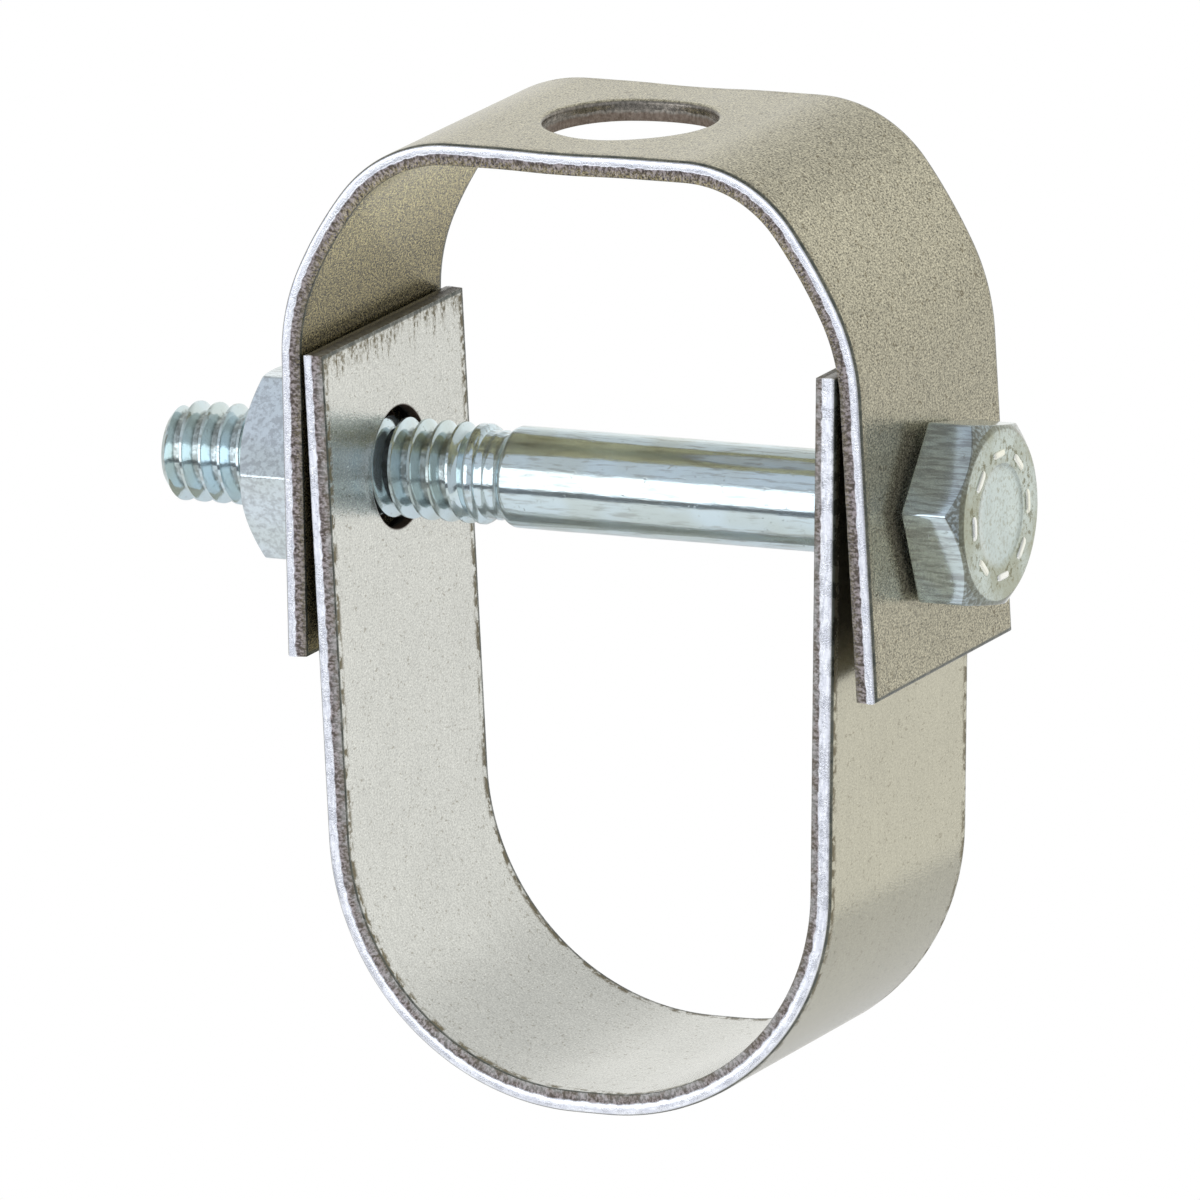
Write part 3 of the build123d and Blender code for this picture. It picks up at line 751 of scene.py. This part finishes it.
# Rounded pads, |u/a|^4 + |v/b|^4 + (w/c)^2 = 1, each turned about the bolt's axis to its place.
def makeDashes():
    d = dashPads

    def bend(t):
        return np.sign(t) * np.abs(t) ** 0.5

    u, v = np.meshgrid(np.linspace(0, fullTurn, d["around"] + 1),
                       np.linspace(-np.pi / 2, np.pi / 2, d["over"] + 1), indexing="ij")
    along = bend(np.cos(u)) * np.cos(v) ** 0.5 * d["long"] / 2
    outward = d["ring"] + bend(np.sin(u)) * np.cos(v) ** 0.5 * d["wide"] / 2
    x = headTop - d["sink"] + np.sin(v) * d["high"]
    index = np.arange(u.size).reshape(u.shape)
    quads = np.stack([index[:-1, :-1], index[1:, :-1], index[1:, 1:], index[:-1, 1:]], -1).reshape(-1, 4)
    points, faces = [], []
    for k in range(d["count"]):
        turn = fullTurn * k / d["count"]
        y = outward * np.cos(turn) - along * np.sin(turn)
        z = outward * np.sin(turn) + along * np.cos(turn)
        points.append(np.stack([x, y, boltZ + z], -1).reshape(-1, 3))
        faces.append(quads + k * u.size)
    points = np.concatenate(points)
    radial = np.hypot(points[:, 1], points[:, 2] - boltZ)
    attributes = {"turned": np.stack([points[:, 0], radial, 0 * radial], -1), "cut": np.zeros(len(points))}
    return meshObject("headDashes", points, np.concatenate(faces), attributes, d["sharp"])


dashes = makeDashes()
dashes.data.materials.append(zincMaterial("dashZinc", dashPads))

# Nut, with the bolt's thread cut a little wider and both mouths opened by sink.
nutTurns = dict(
    low=-24.2662, high=-19.3662, across=11.11, faceShare=0.96, chamfer=30.0, turn=3.0, gap=0.1, sink=0.3,
    mouthIn=0.35,
    cool=(0.78, 0.87, 0.93, 1), warm=(0.72, 0.80, 0.82, 1), wear=0.3, rough=0.22, mottle=0.36, streaky=0.0)


# Once round the ring: the thread from low to high, the high face, the sides, and the low face inwards.
def makeNut():
    n, b = nutTurns, boltTurns
    phi = hexAngles(n["turn"])
    faceR = n["faceShare"] * n["across"] / 2
    hexR = hexRadius(phi, n["across"], n["turn"])
    slope = math.tan(math.radians(n["chamfer"]))
    bore = b["crest"] + n["gap"]
    mouth = bore + n["sink"]
    rows = []
    for x in helixRows(n["low"] + n["mouthIn"], n["high"] - n["mouthIn"], b["tip"], phi):
        cut = threadCut(x, phi, b["tip"])
        addRow(rows, phi, x, bore - b["depth"] * cut, cut)

    def faceRows(end, sign):
        border = end - sign * (hexR - faceR) * slope
        return [(end - sign * 0.3, bore), (end - sign * 0.02, mouth), (end, mouth + 0.06), (end, mouth + 0.6),
                (end, faceR - 0.15), (end - sign * 0.02, faceR - 0.04), (border + sign * 0.03, hexR - 0.04),
                (border - sign * 0.02, hexR - 0.006), (border - sign * 0.08, hexR)]

    sideRows = [(n["low"] + t * (n["high"] - n["low"]), hexR) for t in (0.7, 0.5, 0.3)]
    for x, r in faceRows(n["high"], 1) + sideRows + faceRows(n["low"], -1)[::-1]:
        addRow(rows, phi, x, r)
    return gridMesh("steelNut", rows, phi, ring=True)


nut = makeNut()
nut.data.materials.append(zincMaterial("nutZinc", nutTurns))
print("bolt, dashes and nut made")

# what each piece stands for
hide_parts("upper_yoke")
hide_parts("lower_yoke")
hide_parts("cross_bolt")
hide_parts("hex_nut")
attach(upper, "upper_yoke")
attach(lower, "lower_yoke")
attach(bolt, "cross_bolt")
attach(dashes, "cross_bolt")
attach(nut, "hex_nut")
print("pieces declared")

# floor, in metres: a pale disc that every ray sees alike
floorSize = dict(radius=0.42, height=-0.20, sides=96, color=(0.76, 0.76, 0.76, 1), rough=0.8)
floorTurn = np.linspace(0, fullTurn, floorSize["sides"] + 1)[:-1]
floorMesh = bpy.data.meshes.new("floor")
floorMesh.from_pydata(
    np.stack([floorSize["radius"] * np.cos(floorTurn), floorSize["radius"] * np.sin(floorTurn),
              np.full(floorSize["sides"], floorSize["height"])], -1).tolist(),
    [], [list(range(floorSize["sides"]))])
floor = bpy.data.objects.new("floor", floorMesh)
bpy.context.scene.collection.objects.link(floor)
floorSkin, floorTree, floorShader = newMaterial("paleFloor")
floorShader.inputs["Base Color"].default_value = floorSize["color"]
floorShader.inputs["Roughness"].default_value = floorSize["rough"]
floorMesh.materials.append(floorSkin)

# the room around: dark ceiling, paler walls, pale ground, a bright wall behind the object, and low in
# front a dark table rim, which draws the thin line along the shank
room = dict(
    ceiling=0.36, walls=0.80, nadir=0.20, horizon=0.60, behind=0.25, rim=-0.85,
    frontTint=(0.95, 0.99, 1.07, 1), backTint=(1.0, 0.995, 0.97, 1), cameraTint=(1, 1, 1, 1))
world = bpy.data.worlds.new("studio")
bpy.context.scene.world = world
world.use_nodes = True
sky = world.node_tree
background = sky.nodes["Background"]
wy, wz = split(sky, sky.nodes.new("ShaderNodeTexCoord").outputs["Generated"])[1:]
paths = sky.nodes.new("ShaderNodeLightPath").outputs
ground = ramp(sky, wz, -0.95, -0.15, room["nadir"], room["horizon"])
level = calc(sky, "MINIMUM", ramp(sky, wz, 0.78, 0.90, room["walls"], room["ceiling"]), ground)
rim = calc(sky, "MULTIPLY", ramp(sky, wz, -0.20, -0.23), ramp(sky, wz, -0.40, -0.36))
rim = calc(sky, "MULTIPLY", rim, ramp(sky, wy, -0.3, -0.6))
level = calc(sky, "MULTIPLY", level, calc(sky, "MULTIPLY_ADD", rim, room["rim"], 1.0))
behind = calc(sky, "MULTIPLY", ramp(sky, wy, 0.35, 0.8), ramp(sky, calc(sky, "ABSOLUTE", wz), 0.75, 0.3))
level = calc(sky, "MULTIPLY_ADD", behind, room["behind"], level)
# the camera sees plain white all round, and mirrored and refracted rays see it behind the object
mirrored = calc(sky, "MAXIMUM", paths["Is Glossy Ray"], paths["Is Transmission Ray"])
backdrop = calc(sky, "MAXIMUM", paths["Is Camera Ray"], calc(sky, "MULTIPLY", mirrored, behind))
sky.links.new(calc(sky, "MAXIMUM", level, backdrop), background.inputs["Strength"])
# cooler in front and warmer behind
tint = blendColor(sky, ramp(sky, wy, -0.35, 0.25), room["frontTint"], room["backTint"])
tint = blendColor(sky, paths["Is Camera Ray"], tint, room["cameraTint"])
sky.links.new(tint, background.inputs["Color"])
print("floor and room made")

# soft panels aimed at the object's middle; only the first is seen in the metal
middle = (0.0, 0.0, -0.03)
frontPlace, frontSize, frontColor = (-0.50, -0.92, 0.12), (1.3, 0.72), (0.97, 0.98, 1.0)
panels = dict(
    frontPanel=dict(place=frontPlace, size=frontSize, watts=3.6, color=frontColor, mirrored=True),
    frontFill=dict(place=frontPlace, size=frontSize, watts=4.4, color=frontColor, mirrored=False),
    topPanel=dict(place=(0.25, -0.35, 0.95), size=(0.8, 0.8), watts=5.5, color=(1, 1, 1), mirrored=False),
    rightPanel=dict(place=(0.95, -0.35, 0.15), size=(0.7, 0.7), watts=4.0, color=(1.0, 0.98, 0.95), mirrored=False))
for name, panel in panels.items():
    lamp = bpy.data.lights.new(name, "AREA")
    lamp.shape = "RECTANGLE"
    lamp.size, lamp.size_y = panel["size"]
    lamp.energy = panel["watts"]
    lamp.color = panel["color"]
    holder = bpy.data.objects.new(name, lamp)
    holder.location = panel["place"]
    holder.rotation_euler = (Vector(middle) - Vector(panel["place"])).to_track_quat("-Z", "Y").to_euler()
    holder.visible_glossy = panel["mirrored"]
    bpy.context.scene.collection.objects.link(holder)
print("lamps made")

# camera fitted to the photograph: degrees, metres, and the focal length in pixels of a 1200 px frame
view = dict(azimuth=26.494, elevation=13.726, roll=-2.025, distance=1.536348, focal=25755.448, frame=1200,
            target=(-0.003141, 0, -0.028936), sensor=36, near=0.1, far=20)
azimuth, elevation, roll = (math.radians(view[key]) for key in ("azimuth", "elevation", "roll"))
back = Vector((math.sin(azimuth) * math.cos(elevation), -math.cos(azimuth) * math.cos(elevation),
               math.sin(elevation)))
right = Vector((math.cos(azimuth), math.sin(azimuth), 0))
up = back.cross(right)
sideways = right * math.cos(roll) + up * math.sin(roll)
upright = up * math.cos(roll) - right * math.sin(roll)
lens = bpy.data.cameras.new("camera")
lens.sensor_width = view["sensor"]
lens.lens = view["focal"] / view["frame"] * view["sensor"]
lens.clip_start, lens.clip_end = view["near"], view["far"]
camera = bpy.data.objects.new("camera", lens)
camera.matrix_world = Matrix.Translation(Vector(view["target"]) + back * view["distance"]) @ Matrix(
    (sideways, upright, back)).transposed().to_4x4()
bpy.context.scene.collection.objects.link(camera)
bpy.context.scene.camera = camera
bpy.context.scene.view_settings.view_transform = "Standard"
print("camera placed")
